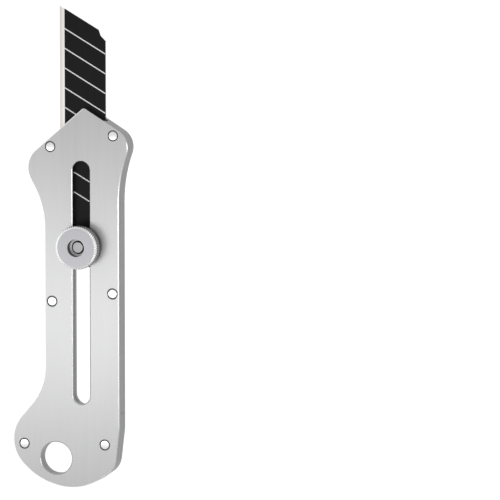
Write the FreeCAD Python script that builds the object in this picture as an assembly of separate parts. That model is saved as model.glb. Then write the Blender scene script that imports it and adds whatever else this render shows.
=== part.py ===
import FreeCAD, Part
import math
import os

# Snap-off utility knife: two steel plates riveted over spacers, with a blade that
# slides in the channel between them and is clamped by a knurled knob.
#
# Frame, millimetres: the knife lies on its back face (z = 0), +Z points out of the
# front face, +Y towards the blade's tip and +X towards the blade's spine. The origin
# is on the blade's centre line, level with the lanyard hole.

Vec = FreeCAD.Vector
UP = Vec(0, 0, 1)

# ---- blade: a standard 18 mm snap-off strip
blade_width = 18.0
blade_length = 98.0
blade_thickness = 0.6
blade_angle = 30.0            # degrees that the tip and the score lines fall across the blade
bevel_width = 2.0             # the whole ground edge
hone_width = 1.05             # its outer, steeper facet
hone_thickness = 0.4          # where the two facets meet
edge_thickness = 0.06
score_count = 9
score_pitch = 7.4             # along the cutting edge
score_width = 0.35
score_depth = 0.14
notch_from_edge = 15.3        # where the snap notch starts at the blunt end of the tip
notch_step = (0.75, 2.2)
blade_tail = 8.0              # from the blade's hole to its tail
tail_crop = 1.5

# ---- handle
hole_to_apex = 132.7          # from the lanyard hole's level to the head's sharp apex
apex_offset = 1.1             # of the apex, from the blade's centre line to the spine side
plate_thickness = 2.5
spacer_thickness = 3.0
rivet_radius = 1.9
head_rivet_drops = (14.9, 10.2)   # below the apex, cutting and spine side
waist_rivet_heights = (59.5, 63.1)
tail_rivet_heights = (5.1, 5.8)
tail_rivet_insets = (8.4, 5.7)    # towards -X from the neck's two sides
edge_lands = (0.4, 0.9)       # rail left inside and outside the waist rivet, cutting side
spine_lands = (1.2, 0.6)      # the same on the spine side
head_lands = (0.95, 1.5)      # rail between channel and head rivets, cutting and spine side
slot_width = 6.8
slot_length = 91.8
slot_low = 20.8               # the slot's lower end
back_relief = 0.9             # how much wider the back plate's openings are, each side
lanyard_radius = 6.2
lanyard_from_side = 4.2       # the hole's axis, inside the neck's cutting side
edge_break = 0.35             # chamfer along the plates' outer edges
hole_break = 0.3              # chamfer round the plates' openings
rivet_sink = 0.1              # how far the rivets' ends lie under the faces

# ---- clamp: stud, washer and knob
stud_radius = 2.45
stud_head_length = 12.0
stud_head_sink = 0.3          # the head's depth under the back face
knob_radius = 8.2
knob_height = 4.6
knob_teeth = 60
knurl_depth = 0.32
knob_front_chamfer = (1.0, 0.8)
knob_back_chamfer = 0.4
hub_radius = 5.2
hub_height = 0.5
recess_radius = 3.3
recess_depth = 3.1
stud_end_sink = 2.6           # the stud's end lies this far under the knob's face
stud_end_chamfer = 0.5
washer_radius = 5.9
washer_thickness = 1.2
washer_edge = 0.2
neck_wall = 0.9               # of the knob's neck, which turns in the washer
lip_step = 0.5                # how far the neck's lip reaches under the washer
lip_height = 0.3

# ---- slider
carrier_tail = 7.5            # below the stud
carrier_nose = 15.0           # above the stud
carrier_corner = 1.5
slider_travel_at_rest = 54.6  # from the back stop to the position modelled here

# ---- clearances
blade_side_clearance = 0.2
carrier_side_clearance = 0.15
channel_clearance = 0.1       # behind the carrier
blade_face_clearance = 0.05   # between the blade and the front plate
hole_clearance = 0.15         # round the stud in the blade
head_clearance = 0.1          # beside the stud's head in the back slot
thread_clearance = 0.05
turning_clearance = 0.05      # between the knob and its washer
washer_clearance = 0.05       # under the washer
tail_clearance = 0.5          # behind the blade when it is fully back
seam_gap = 0.1                # between neighbouring spacers
level_tolerance = 1e-6        # for telling edges that lie flat at one height

# ---- places worked out from the sizes above
channel_half = blade_width / 2 + blade_side_clearance
edge_rail = edge_lands[0] + 2 * rivet_radius + edge_lands[1]
spine_rail = spine_lands[0] + 2 * rivet_radius + spine_lands[1]
left = -(channel_half + edge_rail)
right = channel_half + spine_rail
channel_floor = plate_thickness
channel_roof = plate_thickness + spacer_thickness
thickness = channel_roof + plate_thickness
lanyard_x = left + lanyard_from_side

slot_centre_low = slot_low + slot_width / 2
slot_centre_high = slot_low + slot_length - slot_width / 2
back_slot_half = slot_width / 2 + back_relief
head_half = back_slot_half - head_clearance
back_stop = slot_centre_low + stud_head_length / 2 - head_half
front_stop = slot_centre_high - stud_head_length / 2 + head_half
stud_y = back_stop + slider_travel_at_rest
channel_low = back_stop - blade_tail - tail_clearance

blade_top = channel_roof - blade_face_clearance
blade_under = blade_top - blade_thickness
carrier_under = channel_floor + channel_clearance
washer_under = thickness + washer_clearance
knob_under = washer_under + washer_thickness + turning_clearance
knob_back = knob_under + hub_height
knob_front = knob_back + knob_height

RIVETS = {
    "rivet_head_edge": (-(channel_half + rivet_radius + head_lands[0]), hole_to_apex - head_rivet_drops[0]),
    "rivet_head_spine": (channel_half + rivet_radius + head_lands[1], hole_to_apex - head_rivet_drops[1]),
    "rivet_waist_edge": (-(channel_half + rivet_radius + edge_lands[0]), waist_rivet_heights[0]),
    "rivet_waist_spine": (channel_half + rivet_radius + spine_lands[0], waist_rivet_heights[1]),
    "rivet_tail_edge": (left - tail_rivet_insets[0], tail_rivet_heights[0]),
    "rivet_tail_spine": (right - tail_rivet_insets[1], tail_rivet_heights[1]),
}


def cylinder(radius, low, high, x=0.0, y=0.0):
    """A cylinder along Z between two heights."""
    return Part.makeCylinder(radius, high - low, Vec(x, y, low), UP)


def block(x_low, x_high, y_low, y_high, z_low, z_high):
    """A box between three pairs of limits."""
    size = (x_high - x_low, y_high - y_low, z_high - z_low)
    return Part.makeBox(*size, Vec(x_low, y_low, z_low))


def prism(points, low, high):
    """A flat polygon of (x, y) points, raised from one height to another."""
    loop = [Vec(x, y, low) for x, y in points]
    return Part.Face(Part.makePolygon(loop + loop[:1])).extrude(UP * (high - low))


def turned(profile, x=0.0, y=0.0):
    """A solid turned about Z from a closed half-profile of (radius, z) points."""
    loop = [Vec(x + radius, y, z) for radius, z in profile]
    return Part.Face(Part.makePolygon(loop + loop[:1])).revolve(Vec(x, y, 0), UP, 360)


def obround(half_width, y_low, y_high, low, high):
    """A slot shape round two centres on the Y axis."""
    body = block(-half_width, half_width, y_low, y_high, low, high)
    ends = [cylinder(half_width, low, high, 0, y) for y in (y_low, y_high)]
    return body.multiFuse(ends).removeSplitter()


def rounded_loop(corners, z):
    """A closed wire of straight runs and tangent arcs, from (x, y, radius) corners."""
    arcs = []
    for index, (x, y, radius) in enumerate(corners):
        corner = Vec(x, y, z)
        before = Vec(*corners[index - 1][:2], z) - corner
        after = Vec(*corners[(index + 1) % len(corners)][:2], z) - corner
        before.normalize()
        after.normalize()
        half_angle = before.getAngle(after) / 2
        middle = before + after
        middle.normalize()
        start = corner + before * (radius / math.tan(half_angle))
        end = corner + after * (radius / math.tan(half_angle))
        crown = corner + middle * (radius / math.sin(half_angle) - radius)
        arcs.append((start, crown, end))
    edges = []
    for index, (start, crown, end) in enumerate(arcs):
        edges.append(Part.LineSegment(arcs[index - 1][2], start).toShape())
        edges.append(Part.Arc(start, crown, end).toShape())
    return Part.Wire(edges)


def handle_slab(low, high):
    """The handle's outline, pointed head to round tail, raised between two heights."""
    apex = hole_to_apex
    corners = [
        (apex_offset, apex, 1.2),
        (right + 5.1, apex - 11.6, 7.3),
        (right, apex - 26.2, 54.0),
        (right, 11.6, 18.3),
        (right - 1.7, -3.1, 7.6),
        (-0.8, -12.9, 20.4),
        (left - 3.2, -8.1, 24.8),
        (left - 17.6, 6.0, 13.2),
        (left, 26.5, 22.2),
        (left, apex - 37.4, 33.0),
        (left - 8.9, apex - 21.0, 8.8),
    ]
    return Part.Face(rounded_loop(corners, low)).extrude(UP * (high - low))


def edges_at(shape, z):
    """All edges of a shape that lie in the plane at height z."""
    flat = [edge for edge in shape.Edges if edge.BoundBox.ZLength < level_tolerance]
    return [edge for edge in flat if abs(edge.BoundBox.ZMin - z) < level_tolerance]


def obround_loop(half_width, y_low, y_high, z):
    """The closed outline of a slot round two centres on the Y axis."""
    corners = [Vec(half_width, y_low, z), Vec(half_width, y_high, z)]
    corners += [Vec(-half_width, y_high, z), Vec(-half_width, y_low, z)]
    top = Vec(0, y_high + half_width, z)
    bottom = Vec(0, y_low - half_width, z)
    edges = [Part.LineSegment(corners[0], corners[1]), Part.Arc(corners[1], top, corners[2])]
    edges += [Part.LineSegment(corners[2], corners[3]), Part.Arc(corners[3], bottom, corners[0])]
    return Part.Wire([edge.toShape() for edge in edges])


def round_opening(radius, x, y, low, high, face):
    """The cutter of a round hole with a broken edge at the plate's outer face."""
    inward = UP if face == low else -UP
    flare = Part.makeCone(radius + hole_break, radius, hole_break, Vec(x, y, face), inward)
    return cylinder(radius, low, high, x, y).fuse(flare)


def slot_opening(half, low, high, face):
    """The cutter of the slot, with the same broken edge."""
    depth = hole_break if face == low else -hole_break
    wide = obround_loop(half + hole_break, slot_centre_low, slot_centre_high, face)
    narrow = obround_loop(half, slot_centre_low, slot_centre_high, face + depth)
    through = obround(half, slot_centre_low, slot_centre_high, low, high)
    return through.fuse(Part.makeLoft([wide, narrow], True, True))


def rivet_holes(low, high):
    """One straight hole for each rivet."""
    return [cylinder(rivet_radius, low, high, x, y) for x, y in RIVETS.values()]


def plate(low, face, half_slot, hole_radius):
    """A cover plate with its slot, lanyard hole and rivet holes; face is its outside height."""
    high = low + plate_thickness
    slab = handle_slab(low, high)
    slab = slab.makeChamfer(edge_break, edges_at(slab, face))
    slab = slab.cut(slot_opening(half_slot, low, high, face))
    slab = slab.cut(round_opening(hole_radius, lanyard_x, 0, low, high, face))
    for x, y in RIVETS.values():
        slab = slab.cut(round_opening(rivet_radius, x, y, low, high, face))
    return slab


def front_plate():
    return plate(channel_roof, thickness, slot_width / 2, lanyard_radius)


def back_plate():
    return plate(0, 0, back_slot_half, lanyard_radius + back_relief)


def spacer_layer():
    """The layer between the plates, with the rivet holes but without the blade's channel."""
    slab = handle_slab(channel_floor, channel_roof)
    return slab.cut(Part.makeCompound(rivet_holes(channel_floor, channel_roof)))


def edge_rail_spacer():
    """The spacer along the cutting edge."""
    far = 4 * channel_half
    side = block(left - far, -channel_half, channel_low + seam_gap, 2 * hole_to_apex, 0, thickness)
    return spacer_layer().common(side)


def spine_rail_spacer():
    """The spacer along the blade's spine."""
    far = 4 * channel_half
    side = block(channel_half, right + far, channel_low + seam_gap, 2 * hole_to_apex, 0, thickness)
    return spacer_layer().common(side)


def tail_spacer():
    """The solid tail behind the channel, with the lanyard hole."""
    far = 4 * channel_half
    tail = block(left - far, right + far, -hole_to_apex, channel_low, 0, thickness)
    bored = spacer_layer().common(tail)
    return bored.cut(cylinder(lanyard_radius, channel_floor, channel_roof, lanyard_x, 0))


def rivet(x, y):
    """A rivet whose ends are turned down a little inside the countersunk holes."""
    low = rivet_sink
    high = thickness - rivet_sink
    rim = hole_break
    profile = [(0, low), (rivet_radius - rim, low), (rivet_radius, low + rim)]
    profile += [(rivet_radius, high - rim), (rivet_radius - rim, high), (0, high)]
    return turned(profile, x, y)


def blade():
    """The snap-off strip: ground edge, score lines, notched tip and hole."""
    half = blade_width / 2
    fall = math.tan(math.radians(blade_angle))
    tail = stud_y - blade_tail
    tip = tail + blade_length
    notch_x = -half + notch_from_edge
    notch_y = tip - notch_from_edge * fall
    step_x, step_y = notch_step
    plan = [(-half, tail), (-half, tip), (notch_x, notch_y)]
    plan += [(notch_x + step_x, notch_y - step_y)]
    plan += [(half, notch_y - step_y - (half - notch_x - step_x))]
    plan += [(half, tail + tail_crop), (half - tail_crop, tail)]
    strip = prism(plan, blade_under, blade_top)

    middle = (blade_under + blade_top) / 2
    section = [(-half, middle - edge_thickness / 2), (-half + hone_width, middle - hone_thickness / 2)]
    section += [(-half + bevel_width, blade_under), (half, blade_under)]
    section += [(half, blade_top), (-half + bevel_width, blade_top)]
    section += [(-half + hone_width, middle + hone_thickness / 2), (-half, middle + edge_thickness / 2)]
    loop = [Vec(x, tail, z) for x, z in section]
    ground = Part.Face(Part.makePolygon(loop + loop[:1])).extrude(Vec(0, blade_length, 0))
    strip = strip.common(ground)

    cuts = [score_line(tip - (i + 1) * score_pitch, fall) for i in range(score_count)]
    cuts.append(cylinder(stud_radius + hole_clearance, blade_under, blade_top, 0, stud_y))
    return strip.cut(Part.makeCompound(cuts))


def score_line(edge_y, fall):
    """The V groove of one score line, which meets the cutting edge at edge_y."""
    reach = blade_width
    start = Vec(-reach, edge_y + (reach - blade_width / 2) * fall, blade_top)
    along = Vec(2 * reach, -2 * reach * fall, 0)
    across = UP.cross(along)
    across.normalize()
    flare = 2.0               # the wedge stands proud of the face, so that the groove is clean
    side = across * (score_width / 2 * flare)
    rise = UP * (score_depth * (flare - 1))
    loop = [start + side + rise, start - side + rise, start - UP * score_depth]
    return Part.Face(Part.makePolygon(loop + loop[:1])).extrude(along)


def blade_carrier():
    """The sliding block that backs the blade and rides between the rails."""
    half = channel_half - carrier_side_clearance
    corners = [(-half, stud_y - carrier_tail), (half, stud_y - carrier_tail)]
    corners += [(half, stud_y + carrier_nose), (-half, stud_y + carrier_nose)]
    wire = rounded_loop([(x, y, carrier_corner) for x, y in corners], carrier_under)
    slab = Part.Face(wire).extrude(UP * (blade_under - carrier_under))
    return slab.cut(cylinder(stud_radius, carrier_under, blade_under, 0, stud_y))


def clamp_stud():
    """The stud: a flat-sided head that can't turn in the back slot, and a round shaft."""
    reach = stud_head_length / 2 - head_half
    head = obround(head_half, stud_y - reach, stud_y + reach, stud_head_sink, carrier_under)
    end = knob_front - stud_end_sink
    tip = stud_radius - stud_end_chamfer
    profile = [(0, stud_head_sink), (stud_radius, stud_head_sink)]
    profile += [(stud_radius, end - stud_end_chamfer), (tip, end), (0, end)]
    return head.fuse(turned(profile, 0, stud_y)).removeSplitter()


def knob_washer():
    """The captive washer under the knob, counterbored for the neck's lip."""
    low = washer_under
    high = washer_under + washer_thickness
    bore = neck_radius() + turning_clearance
    pocket = bore + lip_step
    pocket_top = low + lip_height + 2 * turning_clearance + turning_clearance
    profile = [(pocket, low), (washer_radius - washer_edge, low), (washer_radius, low + washer_edge)]
    profile += [(washer_radius, high - washer_edge), (washer_radius - washer_edge, high)]
    profile += [(bore, high), (bore, pocket_top), (pocket, pocket_top)]
    return turned(profile, 0, stud_y)


def neck_radius():
    """The outside of the knob's neck."""
    return stud_radius + thread_clearance + neck_wall


def clamp_knob():
    """The knurled knob with its hub, its lipped neck and the recess round the stud."""
    wide, deep = knob_front_chamfer
    bore = stud_radius + thread_clearance
    neck = neck_radius()
    lip_low = washer_under + 2 * turning_clearance
    lip_high = lip_low + lip_height
    recess_floor = knob_front - recess_depth
    back_edge = knob_back + knob_back_chamfer
    profile = [(bore, lip_low), (neck + lip_step - turning_clearance, lip_low)]
    profile += [(neck + lip_step - turning_clearance, lip_high), (neck, lip_high)]
    profile += [(neck, knob_under), (hub_radius, knob_under), (hub_radius, knob_back)]
    profile += [(knob_radius - knob_back_chamfer, knob_back), (knob_radius, back_edge)]
    profile += [(knob_radius, knob_front - deep), (knob_radius - wide, knob_front)]
    profile += [(recess_radius, knob_front), (recess_radius, recess_floor), (bore, recess_floor)]
    return turned(profile, 0, stud_y).common(knurled_bar())


def knurled_bar():
    """A straight-knurled bar that the knob's rim is cut from."""
    points = []
    for step in range(2 * knob_teeth):
        radius = knob_radius - knurl_depth * (step % 2)
        angle = math.pi * step / knob_teeth
        points.append((radius * math.cos(angle), stud_y + radius * math.sin(angle)))
    return prism(points, thickness, knob_front + 1)


def main():
    os.makedirs("parts", exist_ok=True)
    nodes = {
        "front_plate": front_plate(),
        "back_plate": back_plate(),
        "edge_rail": edge_rail_spacer(),
        "spine_rail": spine_rail_spacer(),
        "tail_spacer": tail_spacer(),
        "blade": blade(),
        "blade_carrier": blade_carrier(),
        "clamp_stud": clamp_stud(),
        "knob_washer": knob_washer(),
        "clamp_knob": clamp_knob(),
    }
    for name, (x, y) in RIVETS.items():
        nodes[name] = rivet(x, y)
    for name, shape in nodes.items():
        assert shape.isValid() and len(shape.Solids) == 1, name
        shape.Solids[0].exportStep("parts/" + name + ".step")
        print(name, round(shape.Volume, 2), [round(v, 2) for v in bounds(shape)])
    print("stud axis y", stud_y, "slides", back_stop - stud_y, "to", front_stop - stud_y)
    print("lanyard hole", lanyard_x, "thickness", thickness, "knob front", knob_front)


def bounds(shape):
    """The lowest and highest corner of a shape."""
    box = shape.BoundBox
    return box.XMin, box.YMin, box.ZMin, box.XMax, box.YMax, box.ZMax


main()
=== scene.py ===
"""The finished looks of an all-metal snap-off utility knife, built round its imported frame.

The knife lies on its back plate: +Y runs towards the blade's tip, +X towards the blade's
spine and +Z out of the front face. Every length is in metres.
"""

import logging
import math
from dataclasses import dataclass, field
from enum import Enum
from typing import Callable, Sequence

import bpy
from mathutils import Matrix, Quaternion, Vector


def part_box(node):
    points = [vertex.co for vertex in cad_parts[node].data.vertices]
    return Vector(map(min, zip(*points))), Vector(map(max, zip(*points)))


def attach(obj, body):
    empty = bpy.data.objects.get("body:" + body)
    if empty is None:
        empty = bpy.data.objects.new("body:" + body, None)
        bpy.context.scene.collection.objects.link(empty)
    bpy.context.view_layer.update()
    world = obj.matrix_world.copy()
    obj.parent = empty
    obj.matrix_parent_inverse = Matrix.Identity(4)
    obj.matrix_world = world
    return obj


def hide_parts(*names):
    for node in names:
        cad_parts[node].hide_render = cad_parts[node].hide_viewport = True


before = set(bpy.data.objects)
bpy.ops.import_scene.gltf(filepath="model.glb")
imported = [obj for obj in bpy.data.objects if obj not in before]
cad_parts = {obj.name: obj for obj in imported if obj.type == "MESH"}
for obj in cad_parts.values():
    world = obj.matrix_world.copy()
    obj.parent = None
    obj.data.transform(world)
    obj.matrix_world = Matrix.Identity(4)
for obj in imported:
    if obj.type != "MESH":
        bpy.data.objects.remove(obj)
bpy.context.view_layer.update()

MM = 0.001
LOG = logging.getLogger("knife")

WELD = 0.002 * MM                      # corners nearer than this are one corner
SPIN_WELD = 0.001 * MM                 # the same where a spun profile closes
FLAT = math.radians(0.4)               # faces that turn less than this are one face
HARD = 32.0                            # edges that turn more, in degrees, are rounded
ROUNDING_FACETS = 2                    # facets across a rounded edge
ROWS_PER_TOOTH = 4                     # rows of faces round the knob for each tooth

# FACE_RAMP and EDGE_BAND place the steels' painted shade on walls, and their painted highlights and shade
# on chamfers.
FACE_RAMP = (0.90, 0.97)               # how squarely a face looks up or down
EDGE_BAND = (0.45, 0.88, 0.06)         # the same for chamfers: low, high and fade
WALL_RAMP = (0.35, 0.25)               # the same for walls
FRONT_RAMP = (0.2, 0.3)                # the same for the front alone

FINE_BRUSHING = (5200.0, 70.0, 5200.0)     # patterns, in cycles a metre along X, Y and Z
BROAD_BRUSHING = (900.0, 14.0, 900.0)
CAST_GRAIN = (1500.0, 1500.0, 1500.0)
TURNING = (4800.0, 4800.0, 4800.0)
CLOUDS = (60.0, 25.0, 60.0)
GRINDING = (250.0, 9000.0, 9000.0)
MOTTLE = (700.0, 260.0, 700.0)
SEAM_BREAKS = (900.0, 350.0, 10.0)

Colour = tuple[float, float, float]
Profile = Sequence[tuple[float, float]]
Socket = bpy.types.NodeSocket


# ------------------------------------------------------------------ material building


class NodeSheet:
    """A material's node tree, with short calls for the nodes that the finishes share."""

    def __init__(self, name: str) -> None:
        """Starts a material with one Principled shader.

        Args:
            name: the material's name.
        """
        self.material = bpy.data.materials.new(name)
        self.material.use_nodes = True
        self.tree = self.material.node_tree
        self.shader = self.tree.nodes["Principled BSDF"]
        self.position = self.add("ShaderNodeTexCoord").outputs["Object"]

    def add(self, kind: str) -> bpy.types.Node:
        """Adds a node of one kind and returns it."""
        return self.tree.nodes.new(kind)

    def feed(self, source: Socket | float, target: Socket) -> None:
        """Links a socket to an input, or sets the input's own value.

        Args:
            source: an output socket or a number.
            target: the input to feed.
        """
        if isinstance(source, (int, float)):
            target.default_value = source
        else:
            self.tree.links.new(source, target)

    def math(self, operation: str, first: Socket | float, second: Socket | float = 0.0) -> Socket:
        """Adds a Math node.

        Args:
            operation: Blender's name of the operation.
            first: the first operand.
            second: the second operand.

        Returns:
            The result's socket.
        """
        node = self.add("ShaderNodeMath")
        node.operation = operation
        self.feed(first, node.inputs[0])
        self.feed(second, node.inputs[1])
        return node.outputs[0]

    def axes(self, vector: Socket) -> tuple[Socket, Socket, Socket]:
        """Splits a vector into its three parts."""
        node = self.add("ShaderNodeSeparateXYZ")
        self.feed(vector, node.inputs[0])
        return node.outputs[0], node.outputs[1], node.outputs[2]

    def facing(self) -> Socket:
        """How squarely the surface faces up or down: 1 on the faces, 0 on the walls."""
        normal = self.add("ShaderNodeNewGeometry").outputs["True Normal"]
        return self.math("ABSOLUTE", self.axes(normal)[2])

    def band(self, value: Socket, low: float, high: float, soft: float) -> Socket:
        """A mask that is 1 between two values and fades out over a soft margin.

        Args:
            value: what is tested.
            low: the band's lower limit.
            high: the band's upper limit.
            soft: the width of each fade.

        Returns:
            The mask's socket.
        """
        rising = self.ramp(value, low - soft, low)
        falling = self.ramp(value, high, high + soft)
        return self.math("SUBTRACT", rising, falling)

    def ramp(self, value: Socket, start: float, end: float) -> Socket:
        """A mask that climbs from 0 at start to 1 at end."""
        node = self.add("ShaderNodeMapRange")
        self.feed(value, node.inputs["Value"])
        node.inputs["From Min"].default_value = start
        node.inputs["From Max"].default_value = end
        return node.outputs["Result"]

    def noise(self, scale: tuple[float, float, float], detail: float = 3.0,
              source: Socket | None = None) -> Socket:
        """A noise pattern, stretched by a different scale along each axis.

        Args:
            scale: cycles per metre along X, Y and Z.
            detail: the noise's octaves.
            source: the coordinates it reads, or None for the object's own.

        Returns:
            The pattern's socket, near 0.5 on average.
        """
        mapping = self.add("ShaderNodeMapping")
        mapping.inputs["Scale"].default_value = scale
        self.feed(source or self.position, mapping.inputs["Vector"])
        texture = self.add("ShaderNodeTexNoise")
        texture.inputs["Scale"].default_value = 1.0
        texture.inputs["Detail"].default_value = detail
        self.feed(mapping.outputs[0], texture.inputs["Vector"])
        return texture.outputs["Fac"]

    def mix(self, mask: Socket, first: Socket | Colour, second: Socket | Colour) -> Socket:
        """Mixes two colours by a mask.

        Args:
            mask: 0 shows the first colour, 1 the second.
            first: a colour or its socket.
            second: a colour or its socket.

        Returns:
            The mixed colour's socket.
        """
        node = self.add("ShaderNodeMix")
        node.data_type = "RGBA"
        self.feed(mask, node.inputs["Factor"])
        for source, target in ((first, node.inputs[6]), (second, node.inputs[7])):
            if isinstance(source, tuple):
                target.default_value = (*source, 1.0)
            else:
                self.feed(source, target)
        return node.outputs[2]

    def tint(self, colour: Socket | Colour, pattern: Socket, spread: float) -> Socket:
        """Lightens and darkens a colour with a pattern.

        Args:
            colour: the colour to vary.
            pattern: values near 0.5.
            spread: the share by which the colour varies.

        Returns:
            The varied colour's socket.
        """
        factor = self.math("MULTIPLY_ADD", pattern, 2 * spread)
        factor.node.inputs[2].default_value = 1.0 - spread
        scaled = self.add("ShaderNodeVectorMath")
        scaled.operation = "SCALE"
        if isinstance(colour, tuple):
            scaled.inputs[0].default_value = colour
        else:
            self.feed(colour, scaled.inputs[0])
        self.feed(factor, scaled.inputs["Scale"])
        return scaled.outputs[0]

    def relief(self, height: Socket, depth: float) -> None:
        """Sets the shader's bump from a height pattern.

        Args:
            height: the pattern, from 0 to 1.
            depth: how deep the pattern is cut, in metres.
        """
        bump = self.add("ShaderNodeBump")
        bump.inputs["Strength"].default_value = 1.0
        bump.inputs["Distance"].default_value = depth
        self.feed(height, bump.inputs["Height"])
        self.feed(bump.outputs["Normal"], self.shader.inputs["Normal"])


class Grain(Enum):
    """Which way a metal surface was brushed or turned."""

    LENGTHWISE = "along the knife"
    TURNED = "round the knob's axis"
    CAST = "no direction"


@dataclass(frozen=True)
class Steel:
    """Bare steel with a satin face, duller walls and bright broken edges.

    Attributes:
        name: the material's name.
        face: the colour of faces that point up or down.
        wall: the colour of upright walls; where darker than the face, it is painted shade.
        edge: the colour of the chamfers between them; lighter than the face it is a painted highlight,
            darker it is painted shade.
        face_roughness: the roughness of the faces.
        wall_roughness: the roughness of the walls.
        grain: the direction of the brush or turning marks.
        depth: how deep the marks are.
        axis: where the turning marks are centred, in X and Y.
        marks_tint: the share by which the marks vary the colour.
        clouds_tint: the share by which broad clouds vary it.
        edge_polish: how much smoother the edges are.
        marks_wear: how much the marks roughen the surface.
    """

    name: str
    face: Colour
    wall: Colour
    edge: Colour
    face_roughness: float
    wall_roughness: float
    grain: Grain = Grain.LENGTHWISE
    depth: float = 1.5e-6
    axis: tuple[float, float] = (0.0, 0.0)
    marks_tint: float = 0.09
    clouds_tint: float = 0.03
    edge_polish: float = 0.12
    marks_wear: float = 0.10

    def marks(self, sheet: NodeSheet) -> Socket:
        """The pattern of fine marks that the last machining left.

        Args:
            sheet: the material being built.

        Returns:
            The pattern's socket.
        """
        if self.grain is Grain.LENGTHWISE:
            fine = sheet.noise(FINE_BRUSHING, 4.0)
            broad = sheet.noise(BROAD_BRUSHING, 3.0)
            return sheet.math("MULTIPLY", sheet.math("ADD", fine, broad), 0.5)
        if self.grain is Grain.CAST:
            return sheet.noise(CAST_GRAIN, 4.0)
        return sheet.noise(TURNING, 3.0, self.rings(sheet))

    def rings(self, sheet: NodeSheet) -> Socket:
        """Coordinates that change only with distance from the turning axis and with height."""
        x, y, z = sheet.axes(sheet.position)
        across = sheet.math("SUBTRACT", x, self.axis[0])
        along = sheet.math("SUBTRACT", y, self.axis[1])
        squares = [sheet.math("POWER", value, 2.0) for value in (across, along)]
        radius = sheet.math("SQRT", sheet.math("ADD", *squares))
        joined = sheet.add("ShaderNodeCombineXYZ")
        sheet.feed(radius, joined.inputs[0])
        sheet.feed(z, joined.inputs[2])
        return joined.outputs[0]

    def build(self, extra: Callable[[NodeSheet, Socket], Socket] | None = None) -> bpy.types.Material:
        """Makes the material.

        Args:
            extra: adds what belongs to one piece, such as grime, to the base colour.

        Returns:
            The finished material.
        """
        sheet = NodeSheet(self.name)
        facing = sheet.facing()
        is_face = sheet.ramp(facing, *FACE_RAMP)
        is_edge = sheet.band(facing, *EDGE_BAND)
        marks = self.marks(sheet)
        clouds = sheet.noise(CLOUDS, 2.0)

        # Painted shade and highlight: walls and chamfers take their own colours by which way they point.
        colour = sheet.mix(is_face, self.wall, self.face)
        colour = sheet.mix(is_edge, colour, self.edge)
        colour = sheet.tint(colour, marks, self.marks_tint)
        colour = sheet.tint(colour, clouds, self.clouds_tint)
        if extra is not None:
            colour = extra(sheet, colour)
        sheet.feed(colour, sheet.shader.inputs["Base Color"])

        smooth = sheet.math("MULTIPLY_ADD", is_face, self.face_roughness - self.wall_roughness)
        smooth.node.inputs[2].default_value = self.wall_roughness
        polished = sheet.math("MULTIPLY", is_edge, -self.edge_polish)
        worn = sheet.math("MULTIPLY", marks, self.marks_wear)
        roughness = sheet.math("ADD", sheet.math("ADD", smooth, polished), worn)
        sheet.feed(roughness, sheet.shader.inputs["Roughness"])
        sheet.shader.inputs["Metallic"].default_value = 1.0
        sheet.relief(marks, self.depth)
        return sheet.material


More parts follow.
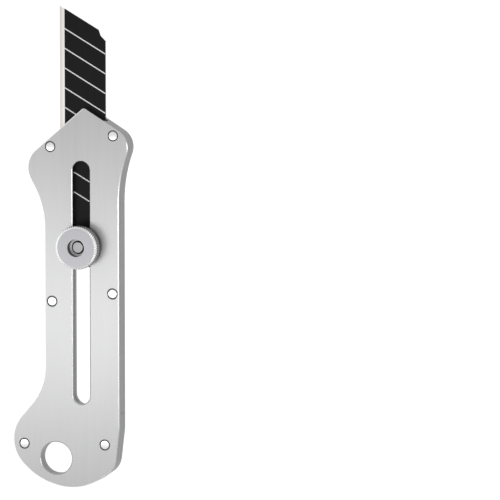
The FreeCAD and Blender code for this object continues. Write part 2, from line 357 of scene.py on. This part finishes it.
@dataclass(frozen=True)
class BlackBlade:
    """Black oxide on a snap-off strip, with bare score lines and a two-step ground edge.

    Attributes:
        name: the material's name.
        oxide: the colour of the black flats.
        bare: the colour of the score lines.
        bevel: the colour of the inner ground facet.
        hone: the colour of the outer, finer facet.
        half_width: half of the strip's width.
        bevel_width: the width of the whole ground edge.
        hone_width: the width of the outer facet.
        tip: how far along the strip its tip lies.
        pitch: the distance between score lines, along the strip.
        fall: how far the lines drop for each unit across the strip.
        lines: the number of score lines.
        line_width: the width of a score line, along the strip.
        line_fade: the fade of a score line's sides, as a share of the pitch.
        bevel_fade: the width of the fade beside each facet.
        mottle_tint: the share by which the oxide's colour varies.
        grind_tint: the share by which the ground edge's colour varies.
        grind_depth: how deep the grinding marks are.
        metalness: how metallic the bare steel looks.
        roughness: the least roughness of the surface.
        roughness_spread: how much more the mottle adds.
        specular: the strength of the oxide's own reflections.
    """

    name: str
    oxide: Colour
    bare: Colour
    bevel: Colour
    hone: Colour
    half_width: float
    bevel_width: float
    hone_width: float
    tip: float
    pitch: float
    fall: float
    lines: int
    line_width: float
    line_fade: float = 0.008
    bevel_fade: float = 0.03 * MM
    mottle_tint: float = 0.35
    grind_tint: float = 0.06
    grind_depth: float = 0.001 * MM
    metalness: float = 0.75
    roughness: float = 0.36
    roughness_spread: float = 0.18
    specular: float = 0.16

    def build(self) -> bpy.types.Material:
        """Makes the material."""
        sheet = NodeSheet(self.name)
        x, y = sheet.axes(sheet.position)[:2]
        from_edge = sheet.math("ADD", x, self.half_width)

        level = sheet.math("MULTIPLY_ADD", from_edge, self.fall)
        sheet.feed(y, level.node.inputs[2])
        count = sheet.math("DIVIDE", sheet.math("SUBTRACT", self.tip, level), self.pitch)
        nearest = sheet.math("ROUND", count)
        off_line = sheet.math("ABSOLUTE", sheet.math("SUBTRACT", count, nearest))
        on_line = sheet.band(off_line, -1.0, self.line_width / self.pitch / 2, self.line_fade)
        is_line = sheet.math("MULTIPLY", on_line, sheet.band(nearest, 0.9, self.lines + 0.1, 0.05))
        normal = sheet.add("ShaderNodeNewGeometry").outputs["True Normal"]
        on_front = sheet.ramp(sheet.axes(normal)[2], *FRONT_RAMP)
        is_line = sheet.math("MULTIPLY", is_line, on_front)

        grind = sheet.noise(GRINDING, 3.0)
        mottle = sheet.noise(MOTTLE, 4.0)
        flats = sheet.tint(self.oxide, mottle, self.mottle_tint)
        is_bevel = sheet.band(from_edge, -1.0, self.bevel_width, self.bevel_fade)
        is_hone = sheet.band(from_edge, -1.0, self.hone_width, self.bevel_fade)
        ground = sheet.tint(sheet.mix(is_hone, self.bevel, self.hone), grind, self.grind_tint)
        colour = sheet.mix(is_line, flats, self.bare)
        colour = sheet.mix(is_bevel, colour, ground)
        sheet.feed(colour, sheet.shader.inputs["Base Color"])

        metal = sheet.math("MAXIMUM", is_line, is_bevel)
        sheet.feed(sheet.math("MULTIPLY", metal, self.metalness), sheet.shader.inputs["Metallic"])
        roughness = sheet.math("MULTIPLY_ADD", mottle, self.roughness_spread)
        roughness.node.inputs[2].default_value = self.roughness
        sheet.shader.inputs["Specular IOR Level"].default_value = self.specular
        sheet.feed(roughness, sheet.shader.inputs["Roughness"])
        sheet.relief(sheet.math("MULTIPLY", grind, is_bevel), self.grind_depth)
        return sheet.material


# ------------------------------------------------------------------ mesh building


def only(piece: bpy.types.Object) -> None:
    """Makes one object the only selected and active one."""
    bpy.ops.object.select_all(action="DESELECT")
    piece.select_set(True)
    bpy.context.view_layer.objects.active = piece


def pick(piece: bpy.types.Object, wanted: Callable[[Vector], bool]) -> None:
    """Selects the vertices that pass a test, from object mode.

    Args:
        piece: the mesh object.
        wanted: tells whether the vertex at a place is selected.
    """
    for polygon in piece.data.polygons:
        polygon.select = False
    for edge in piece.data.edges:
        edge.select = False
    for vertex in piece.data.vertices:
        vertex.select = wanted(vertex.co)


def settle(piece: bpy.types.Object) -> None:
    """Moves an object's place into its mesh, so that it sits at the origin."""
    only(piece)
    bpy.ops.object.transform_apply(location=True, rotation=True, scale=True)


def soften(piece: bpy.types.Object, width: float, angle: float = HARD) -> None:
    """Rounds a piece's hard edges and shades the rest smooth.

    Args:
        piece: the mesh object.
        width: the width of the rounding.
        angle: the angle in degrees from which an edge counts as hard.
    """
    only(piece)
    bevel = piece.modifiers.new("rounding", "BEVEL")
    bevel.width = width
    bevel.segments = ROUNDING_FACETS
    bevel.limit_method = "ANGLE"
    bevel.angle_limit = math.radians(angle)
    bevel.use_clamp_overlap = True
    bpy.ops.object.modifier_apply(modifier=bevel.name)
    bpy.ops.object.shade_smooth_by_angle(angle=math.radians(angle))
    level = piece.modifiers.new("flat_faces", "WEIGHTED_NORMAL")
    level.weight = 100
    level.keep_sharp = True
    bpy.ops.object.modifier_apply(modifier=level.name)


def refined(node: str, name: str, width: float) -> bpy.types.Object:
    """A welded copy of a frame node, with its flats joined and its edges rounded.

    Args:
        node: the frame node's name.
        name: the new piece's name.
        width: the rounding on its hard edges.

    Returns:
        The new piece.
    """
    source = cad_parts[node]
    piece = bpy.data.objects.new(name, source.data.copy())
    bpy.context.scene.collection.objects.link(piece)
    piece.data.materials.clear()
    only(piece)
    if piece.data.has_custom_normals:
        bpy.ops.mesh.customdata_custom_splitnormals_clear()
    bpy.ops.object.mode_set(mode="EDIT")
    bpy.ops.mesh.select_all(action="SELECT")
    bpy.ops.mesh.remove_doubles(threshold=WELD)
    bpy.ops.mesh.dissolve_limited(angle_limit=FLAT)
    bpy.ops.object.mode_set(mode="OBJECT")
    soften(piece, width)
    return piece


def lathe(name: str, profile: Profile, centre: Vector, steps: int) -> bpy.types.Object:
    """A turned solid: one vertex extruded along a half-profile, then spun about Z.

    Args:
        name: the new piece's name.
        profile: (radius, height) points, from the axis or closed on itself.
        centre: a point on the axis, whose height is ignored.
        steps: the number of facets round the axis.

    Returns:
        The new piece, at the origin.
    """
    bpy.ops.object.select_all(action="DESELECT")
    bpy.ops.mesh.primitive_plane_add(size=MM, location=(0, 0, 0))
    piece = bpy.context.active_object
    piece.name = name
    points = [Vector((centre.x + radius, centre.y, height)) for radius, height in profile]
    bpy.ops.object.mode_set(mode="EDIT")
    bpy.ops.mesh.select_all(action="SELECT")
    bpy.ops.mesh.merge(type="CENTER")
    bpy.ops.transform.translate(value=points[0])
    for before, after in zip(points, points[1:]):
        bpy.ops.mesh.extrude_region_move(TRANSFORM_OT_translate={"value": after - before})
    bpy.ops.mesh.select_all(action="SELECT")
    bpy.ops.mesh.spin(steps=steps, angle=math.tau, center=(centre.x, centre.y, 0), axis=(0, 0, 1))
    bpy.ops.mesh.select_all(action="SELECT")
    bpy.ops.mesh.remove_doubles(threshold=SPIN_WELD)
    bpy.ops.mesh.normals_make_consistent(inside=False)
    bpy.ops.object.mode_set(mode="OBJECT")
    return piece


# ------------------------------------------------------------------ the knife


@dataclass
class Assembly:
    """Pieces that are made together.

    Attributes:
        pieces: what has been made so far.
    """

    pieces: list[bpy.types.Object] = field(default_factory=list, init=False)

    def dress(self, piece: bpy.types.Object, finish: bpy.types.Material, body: str, node: str,
              slot: str) -> None:
        """Gives a piece its material, its body, its node and its slot.

        Args:
            piece: the new piece.
            finish: its material.
            body: the body that it rides on.
            node: the frame node that it stands for.
            slot: not used.
        """
        piece.data.materials.clear()
        piece.data.materials.append(finish)
        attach(piece, body)
        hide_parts(node)
        self.pieces.append(piece)


@dataclass
class Handle(Assembly):
    """The riveted handle: two plates over three spacers, held by six rivets.

    Attributes:
        plate_steel: the finish of the two plates.
        spacer_steel: the finish of the spacers between them.
        rivet_steel: the finish of the rivets.
        rivet_shade_reach: the width of the painted shade ring round a rivet, and of its fade.
        rivet_shade_colour: the colour of that painted shade ring.
        seam_reach: half of the width of the dark line at a seam, and the width of its fade.
        seam_colour: the colour of that line.
        plate_rounding: the rounding on the plates' edges.
        spacer_rounding: the rounding on the spacers' edges.
        rivet_rounding: the rounding on the rivets' edges.
        rivet_facets: the facets round a rivet.
        rivet_angle: the angle in degrees from which a rivet's edge is rounded.
        turned_down: how far a rivet's end is turned down, across and along.
        crown: how far a rivet's end is domed.
        dome_steps: the steps from a dome's rim to its middle.
    """

    plate_steel: Steel
    spacer_steel: Steel
    rivet_steel: Steel
    # The dark ring round each rivet is painted shade.
    rivet_shade_reach: float = 0.108 * MM
    rivet_shade_colour: Colour = (0.16, 0.16, 0.165)
    seam_reach: float = 0.09 * MM
    seam_colour: Colour = (0.07, 0.07, 0.07)
    plate_rounding: float = 0.07 * MM
    spacer_rounding: float = 0.04 * MM
    rivet_rounding: float = 0.04 * MM
    rivet_facets: int = 48
    rivet_angle: float = 25.0
    turned_down: float = 0.30 * MM
    crown: float = 0.06 * MM
    dome_steps: int = 4

    def rivet_nodes(self) -> list[str]:
        """The names of the rivets in the frame."""
        return sorted(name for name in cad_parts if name.startswith("rivet_"))

    def rivet_place(self, node: str) -> tuple[Vector, float]:
        """A rivet's centre and radius.

        Args:
            node: the rivet's name in the frame.

        Returns:
            The middle of its box, and half of its width.
        """
        low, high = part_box(node)
        return (low + high) / 2, (high.x - low.x) / 2

    def paint_rivet_shade_rings(self, sheet: NodeSheet, colour: Socket) -> Socket:
        """Paints shade in a narrow ring where each rivet meets its plate.

        Args:
            sheet: the material being built.
            colour: the plate's colour.

        Returns:
            The colour with the rings.
        """
        rings = None
        for node in self.rivet_nodes():
            centre, radius = self.rivet_place(node)
            distance = sheet.add("ShaderNodeVectorMath")
            distance.operation = "DISTANCE"
            flat = sheet.add("ShaderNodeVectorMath")
            flat.operation = "MULTIPLY"
            flat.inputs[1].default_value = (1, 1, 0)
            sheet.feed(sheet.position, flat.inputs[0])
            sheet.feed(flat.outputs[0], distance.inputs[0])
            distance.inputs[1].default_value = (centre.x, centre.y, 0)
            ring = sheet.band(distance.outputs["Value"], 0.0, radius + self.rivet_shade_reach, self.rivet_shade_reach)
            rings = ring if rings is None else sheet.math("MAXIMUM", rings, ring)
        return sheet.mix(rings, colour, self.rivet_shade_colour)

    def seams(self, sheet: NodeSheet, colour: Socket) -> Socket:
        """Darkens the walls where the plates lie on the spacers.

        Args:
            sheet: the material being built.
            colour: the colour so far.

        Returns:
            The colour with the two seams.
        """
        low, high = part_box("tail_spacer")
        height = sheet.axes(sheet.position)[2]
        is_wall = sheet.ramp(sheet.facing(), *WALL_RAMP)
        lines = [sheet.band(height, seam.z - self.seam_reach, seam.z + self.seam_reach, self.seam_reach)
                 for seam in (low, high)]
        lint = sheet.noise(SEAM_BREAKS, 3.0)
        mask = sheet.math("MULTIPLY", sheet.math("MAXIMUM", *lines), is_wall)
        mask = sheet.math("MULTIPLY", mask, sheet.ramp(lint, 0.25, 0.55))
        return sheet.mix(mask, colour, self.seam_colour)

    def plate_rivet_shade_and_seams(self, sheet: NodeSheet, colour: Socket) -> Socket:
        """The plates' painted shade rings round the rivets, and their seams, together."""
        return self.seams(sheet, self.paint_rivet_shade_rings(sheet, colour))

    def build(self) -> None:
        """Makes and dresses all of the handle's pieces."""
        plate = self.plate_steel.build(self.plate_rivet_shade_and_seams)
        spacer = self.spacer_steel.build(self.seams)
        for node in ("front_plate", "back_plate"):
            piece = refined(node, node + "_finished", self.plate_rounding)
            self.dress(piece, plate, "handle", node, "handle_steel")
        for node in ("edge_rail", "spine_rail", "tail_spacer"):
            piece = refined(node, node + "_finished", self.spacer_rounding)
            self.dress(piece, spacer, "handle", node, "spacer_steel")
        self.build_rivets()

    def build_rivets(self) -> None:
        """Turns one rivet and copies it to the six places, each copy with its own mesh."""
        steel = self.rivet_steel.build()
        nodes = self.rivet_nodes()
        first_place, radius = self.rivet_place(nodes[0])
        low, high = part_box(nodes[0])
        profile = self.rivet_profile(radius, low.z, high.z)
        model = lathe("rivet", profile, first_place, self.rivet_facets)
        soften(model, self.rivet_rounding, self.rivet_angle)
        for node in nodes:
            centre = self.rivet_place(node)[0]
            piece = model.copy()
            piece.data = model.data.copy()
            piece.name = node + "_finished"
            bpy.context.scene.collection.objects.link(piece)
            piece.location = (centre.x - first_place.x, centre.y - first_place.y, 0)
            settle(piece)
            self.dress(piece, steel, "handle", node, "rivet_steel")
        bpy.data.objects.remove(model)

    def rivet_profile(self, radius: float, low: float, high: float) -> Profile:
        """A pin whose two ends are turned down at the rim and slightly domed.

        Args:
            radius: the pin's radius.
            low: the height of its lower end.
            high: the height of its upper end.

        Returns:
            The half-profile from the axis, up and back to the axis.
        """
        rim = radius - self.turned_down
        shares = [step / self.dome_steps for step in range(1, self.dome_steps + 1)]
        dome = [(rim * (1 - share), self.crown * share * (2 - share)) for share in shares]
        under = [(r, low + self.crown - rise) for r, rise in reversed(dome)]
        over = [(r, high - self.crown + rise) for r, rise in dome]
        side = [(rim, low + self.crown), (radius, low + self.turned_down)]
        side += [(radius, high - self.turned_down), (rim, high - self.crown)]
        return under + side + over


@dataclass
class Slider(Assembly):
    """What slides in the handle: the blade, its carrier and the clamp stud.

    Attributes:
        blade_finish: the finish of the blade.
        carrier_steel: the finish of the carrier.
        stud_steel: the finish of the stud.
    """

    blade_finish: BlackBlade
    carrier_steel: Steel
    stud_steel: Steel

    def build(self) -> None:
        """Makes and dresses the sliding pieces."""
        finishes = {
            "blade": (self.blade_finish.build(), "black_blade", 0.02 * MM),
            "blade_carrier": (self.carrier_steel.build(), "carrier_steel", 0.06 * MM),
            "clamp_stud": (self.stud_steel.build(), "stud_steel", 0.04 * MM),
        }
        for node, (finish, slot, rounding) in finishes.items():
            piece = refined(node, node + "_finished", rounding)
            self.dress(piece, finish, "slider", node, slot)


@dataclass
class Clamp(Assembly):
    """The knurled knob and the washer that is captive under it.

    Attributes:
        knob_steel: the finish of the knob.
        washer_steel: the finish of the washer.
        teeth: the number of teeth round the rim.
        tooth_depth: how deep the teeth are cut.
        front_chamfer: the rim's front chamfer, across and down.
        back_chamfer: the rim's back chamfer.
        hub_radius: the radius of the hub under the rim.
        hub_height: the height of the hub.
        recess_radius: the radius of the recess round the stud.
        recess_depth: the depth of that recess.
        bore: the radius of the threaded bore.
        neck_wall: the wall of the neck that turns in the washer.
        lip_step: how far the neck's lip stands out under the washer.
        lip_height: the height of that lip.
        turning_gap: the gap between the knob and its washer.
        knob_rounding: the rounding on the knob's edges.
        knob_angle: the angle in degrees from which a knob's edge is rounded.
        washer_rounding: the rounding on the washer's edges.
    """

    knob_steel: Steel
    washer_steel: Steel
    teeth: int = 60
    tooth_depth: float = 0.32 * MM
    front_chamfer: tuple[float, float] = (1.0 * MM, 0.8 * MM)
    back_chamfer: float = 0.4 * MM
    hub_radius: float = 5.2 * MM
    hub_height: float = 0.5 * MM
    recess_radius: float = 3.3 * MM
    recess_depth: float = 3.1 * MM
    bore: float = 2.5 * MM
    neck_wall: float = 0.9 * MM
    lip_step: float = 0.45 * MM
    lip_height: float = 0.3 * MM
    turning_gap: float = 0.05 * MM
    knob_rounding: float = 0.05 * MM
    knob_angle: float = 24.0
    washer_rounding: float = 0.06 * MM

    def knob_profile(self) -> Profile:
        """The knob's closed half-profile, from the frame's box and the sizes above."""
        low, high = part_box("clamp_knob")
        washer_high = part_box("knob_washer")[1].z
        rim = (high.x - low.x) / 2
        bore = self.bore
        neck = bore + self.neck_wall
        lip = neck + self.lip_step
        under = washer_high + self.turning_gap
        back = under + self.hub_height
        across, down = self.front_chamfer
        floor = high.z - self.recess_depth
        profile = [(bore, low.z), (lip, low.z), (lip, low.z + self.lip_height)]
        profile.append((neck, low.z + self.lip_height))
        profile += [(neck, under), (self.hub_radius, under), (self.hub_radius, back)]
        profile += [(rim - self.back_chamfer, back), (rim, back + self.back_chamfer)]
        profile += [(rim, high.z - down), (rim - across, high.z)]
        profile += [(self.recess_radius, high.z)]
        profile += [(self.recess_radius, floor), (bore, floor), (bore, low.z)]
        return profile

    def build(self) -> None:
        """Makes and dresses the knob and its washer."""
        self.build_knob()
        washer = refined("knob_washer", "knob_washer_finished", self.washer_rounding)
        self.dress(washer, self.washer_steel.build(), "washer", "knob_washer", "stud_steel")

    def build_knob(self) -> None:
        """Turns the knob, then presses the gaps between its teeth in."""
        low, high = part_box("clamp_knob")
        centre = (low + high) / 2
        rim = (high.x - low.x) / 2
        knob = lathe("clamp_knob_finished", self.knob_profile(), centre, ROWS_PER_TOOTH * self.teeth)
        self.cut_teeth(knob, centre, rim)
        soften(knob, self.knob_rounding, self.knob_angle)
        self.dress(knob, self.knob_steel.build(), "knob", "clamp_knob", "knob_steel")

    def cut_teeth(self, knob: bpy.types.Object, centre: Vector, rim: float) -> None:
        """Shrinks every second pair of rows round the rim, so that teeth stand out.

        Args:
            knob: the turned knob.
            centre: a point on its axis.
            rim: the radius over the teeth.
        """
        on_rim = rim - 0.01 * MM

        def in_gap(place: Vector) -> bool:
            """Whether a corner lies on the rim, in one of the gaps."""
            across, along = place.x - centre.x, place.y - centre.y
            row = round(math.atan2(along, across) / math.tau * ROWS_PER_TOOTH * self.teeth)
            return math.hypot(across, along) > on_rim and row % ROWS_PER_TOOTH in (0, 1)

        only(knob)
        pick(knob, in_gap)
        bpy.ops.object.mode_set(mode="EDIT")
        bpy.ops.mesh.select_mode(type="VERT")
        share = 1 - self.tooth_depth / rim
        bpy.ops.transform.resize(value=(share, share, 1), center_override=centre)
        bpy.ops.object.mode_set(mode="OBJECT")


# ------------------------------------------------------------------ the studio


def turned_to(towards: Vector) -> Quaternion:
    """The rotation of a camera or light whose back points one way, with +Y up in its view.

    Args:
        towards: the unit direction from what it looks at to where it stands.

    Returns:
        The rotation.
    """
    right = Vector((0, 1, 0)).cross(towards).normalized()
    return Matrix((right, towards.cross(right), towards)).transposed().to_quaternion()


@dataclass(frozen=True)
class SoftBox:
    """A soft rectangular light.

    Attributes:
        name: its name.
        place: where it stands.
        size: its width and height.
        power: its power in watts.
    """

    name: str
    place: tuple[float, float, float]
    size: tuple[float, float]
    power: float


@dataclass
class Studio:
    """The camera, the pale floor and the soft lights.

    Attributes:
        turn: how far the camera stands towards the spine side, in degrees.
        tilt: how far it stands towards the blade, in degrees.
        lens: the camera's focal length in millimetres.
        frame_width: the width of the view at the knife.
        offset: where the view's middle lies from the origin's front face, right and up.
        sensor: the width of the camera's sensor in millimetres.
        floor_size: the width of the floor.
        floor_drop: how far the floor lies under the knife.
        floor_colour: the floor's colour.
        floor_roughness: the floor's roughness.
        floor_glow: how strongly the floor glows.
        sky: the strength of the white surroundings.
        target: what the lights point at.
        lights: the soft lights.
    """

    turn: float = 16.5
    tilt: float = 6.7
    lens: float = 400.0
    frame_width: float = 0.188
    offset: tuple[float, float] = (0.0633, 0.0787)
    sensor: float = 36.0
    floor_size: float = 6.0
    floor_drop: float = 0.2 * MM
    floor_colour: Colour = (0.30, 0.30, 0.30)
    floor_roughness: float = 0.9
    floor_glow: float = 0.93
    sky: float = 0.63
    target: tuple[float, float, float] = (0.0, 0.07, 0.0)
    lights: tuple[SoftBox, ...] = (
        SoftBox("overhead", (-0.10, 0.015, 0.30), (0.34, 0.06), 0.155),
        SoftBox("spine_side", (0.60, 0.10, 0.16), (0.12, 0.30), 0.3),
    )

    def directions(self) -> tuple[Vector, Vector, Vector]:
        """The directions from the knife to the camera, and the view's right and up."""
        turn, tilt = math.radians(self.turn), math.radians(self.tilt)
        towards = Vector((math.sin(turn) * math.cos(tilt), math.sin(tilt), math.cos(turn) * math.cos(tilt)))
        right = Vector((0, 1, 0)).cross(towards).normalized()
        return towards, right, towards.cross(right)

    def build_camera(self) -> None:
        """Adds the camera."""
        towards, right, up = self.directions()
        front = Vector((0, 0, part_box("front_plate")[1].z))
        middle = front + right * self.offset[0] + up * self.offset[1]
        camera = bpy.data.objects.new("camera", bpy.data.cameras.new("camera"))
        bpy.context.scene.collection.objects.link(camera)
        camera.data.lens = self.lens
        camera.data.sensor_width = self.sensor
        camera.location = middle + towards * (self.frame_width * self.lens / self.sensor)
        camera.rotation_mode = "QUATERNION"
        camera.rotation_quaternion = turned_to(towards)
        camera.data.clip_start, camera.data.clip_end = 0.01, 20.0
        bpy.context.scene.camera = camera

    def build_floor(self) -> None:
        """Adds a wide pale floor that glows a little, as a light table does."""
        bpy.ops.object.select_all(action="DESELECT")
        bpy.ops.mesh.primitive_plane_add(size=self.floor_size, location=(0, 0, -self.floor_drop))
        floor = bpy.context.active_object
        floor.name = "floor"
        sheet = NodeSheet("pale_floor")
        sheet.shader.inputs["Base Color"].default_value = (*self.floor_colour, 1)
        sheet.shader.inputs["Roughness"].default_value = self.floor_roughness
        sheet.shader.inputs["Emission Color"].default_value = (1, 1, 1, 1)
        sheet.shader.inputs["Emission Strength"].default_value = self.floor_glow
        floor.data.materials.append(sheet.material)

    def build_light(self, box: SoftBox) -> None:
        """Adds one soft light.

        Args:
            box: its name, place, size and power.
        """
        lamp = bpy.data.lights.new(box.name, "AREA")
        lamp.shape = "RECTANGLE"
        lamp.size, lamp.size_y = box.size
        lamp.energy = box.power
        light = bpy.data.objects.new(box.name, lamp)
        bpy.context.scene.collection.objects.link(light)
        light.location = box.place
        light.visible_camera = False
        light.rotation_mode = "QUATERNION"
        light.rotation_quaternion = turned_to((Vector(box.place) - Vector(self.target)).normalized())

    def build(self) -> None:
        """Adds the camera, the floor, the surroundings and the lights."""
        self.build_camera()
        self.build_floor()
        scene = bpy.context.scene
        scene.view_settings.view_transform = "Standard"
        world = bpy.data.worlds.new("studio")
        scene.world = world
        world.use_nodes = True
        world.node_tree.nodes["Background"].inputs["Color"].default_value = (1.0, 1.0, 1.0, 1)
        world.node_tree.nodes["Background"].inputs["Strength"].default_value = self.sky
        for box in self.lights:
            self.build_light(box)


# ------------------------------------------------------------------ making it all


def blade_finish() -> BlackBlade:
    """The blade's finish, placed from the frame's own box of the blade."""
    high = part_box("blade")[1]
    return BlackBlade(
        name="black_blade", oxide=(0.008, 0.0075, 0.008), bare=(1.0, 1.0, 1.0),
        bevel=(1.0, 1.0, 0.98), hone=(0.90, 0.87, 0.81), half_width=high.x,
        bevel_width=2.0 * MM, hone_width=1.05 * MM, tip=high.y, pitch=7.4 * MM,
        fall=math.tan(math.radians(30.0)), lines=9, line_width=0.40 * MM,
    )


def handle_with_finishes() -> Handle:
    """The handle and its three finishes."""
    # Painted shade and highlight: the plates' walls are darker than their faces, and their chamfers
    # lighter.
    satin = Steel(
        name="satin_steel", face=(0.54, 0.54, 0.545), wall=(0.23, 0.23, 0.23),
        edge=(0.78, 0.78, 0.79), face_roughness=0.32, wall_roughness=0.34,
    )
    # Painted shade: the spacers' walls are darker than their faces.
    ground = Steel(
        name="ground_steel", face=(0.50, 0.50, 0.50), wall=(0.24, 0.24, 0.24),
        edge=(0.5, 0.5, 0.5), face_roughness=0.42, wall_roughness=0.38,
    )
    # Painted shade: the rivets' walls and chamfers are darker than their faces, a dark ring at the rim.
    rivet = Steel(
        name="rivet_steel", face=(0.97, 0.97, 0.97), wall=(0.6, 0.6, 0.61),
        edge=(0.30, 0.30, 0.30), face_roughness=0.22, wall_roughness=0.25,
        grain=Grain.CAST, depth=0.6e-6,
    )
    return Handle(satin, ground, rivet)


def slider_with_finishes(axis: tuple[float, float]) -> Slider:
    """The sliding pieces and their finishes.

    Args:
        axis: where the stud's turning marks are centred, in X and Y.

    Returns:
        The assembly, not yet built.
    """
    # Painted shade and highlight: the carrier's walls are a little darker than its faces, and its chamfers
    # lighter.
    carrier = Steel(
        name="carrier_steel", face=(0.45, 0.45, 0.46), wall=(0.4, 0.4, 0.41),
        edge=(0.6, 0.6, 0.6), face_roughness=0.4, wall_roughness=0.4,
    )
    # Painted shade: the stud's walls and chamfers are near black, the shade inside the knob's recess.
    stud = Steel(
        name="stud_steel", face=(0.40, 0.40, 0.41), wall=(0.10, 0.10, 0.105),
        edge=(0.035, 0.035, 0.04), face_roughness=0.36, wall_roughness=0.3,
        grain=Grain.TURNED, depth=0.35e-6, axis=axis,
    )
    return Slider(blade_finish(), carrier, stud)


def clamp_with_finishes(axis: tuple[float, float]) -> Clamp:
    """The knob, its washer and their finishes.

    Args:
        axis: where their turning marks are centred, in X and Y.

    Returns:
        The assembly, not yet built.
    """
    # Painted highlight: the knob's chamfers are near white.
    knob = Steel(
        name="knob_steel", face=(0.43, 0.43, 0.45), wall=(0.55, 0.55, 0.54),
        edge=(0.93, 0.93, 0.93), face_roughness=0.34, wall_roughness=0.30,
        grain=Grain.TURNED, depth=0.35e-6, axis=axis,
    )
    # Painted shade and highlight: the washer's walls are darker than its faces, and its chamfers lighter.
    washer = Steel(
        name="washer_steel", face=(0.7, 0.7, 0.71), wall=(0.55, 0.55, 0.56),
        edge=(0.8, 0.8, 0.8), face_roughness=0.3, wall_roughness=0.3,
        grain=Grain.TURNED, depth=1.5e-6, axis=axis,
    )
    return Clamp(knob, washer)


def main() -> None:
    """Builds the knife and its studio, and reports each piece."""
    logging.basicConfig(level=logging.INFO, format="%(name)s: %(message)s")
    low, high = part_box("clamp_knob")
    axis = ((low.x + high.x) / 2, (low.y + high.y) / 2)
    for assembly in (handle_with_finishes(), slider_with_finishes(axis), clamp_with_finishes(axis)):
        assembly.build()
        for piece in assembly.pieces:
            LOG.info("%s: %d faces", piece.name, len(piece.data.polygons))
    Studio().build()


if __name__ == "__main__":
    main()
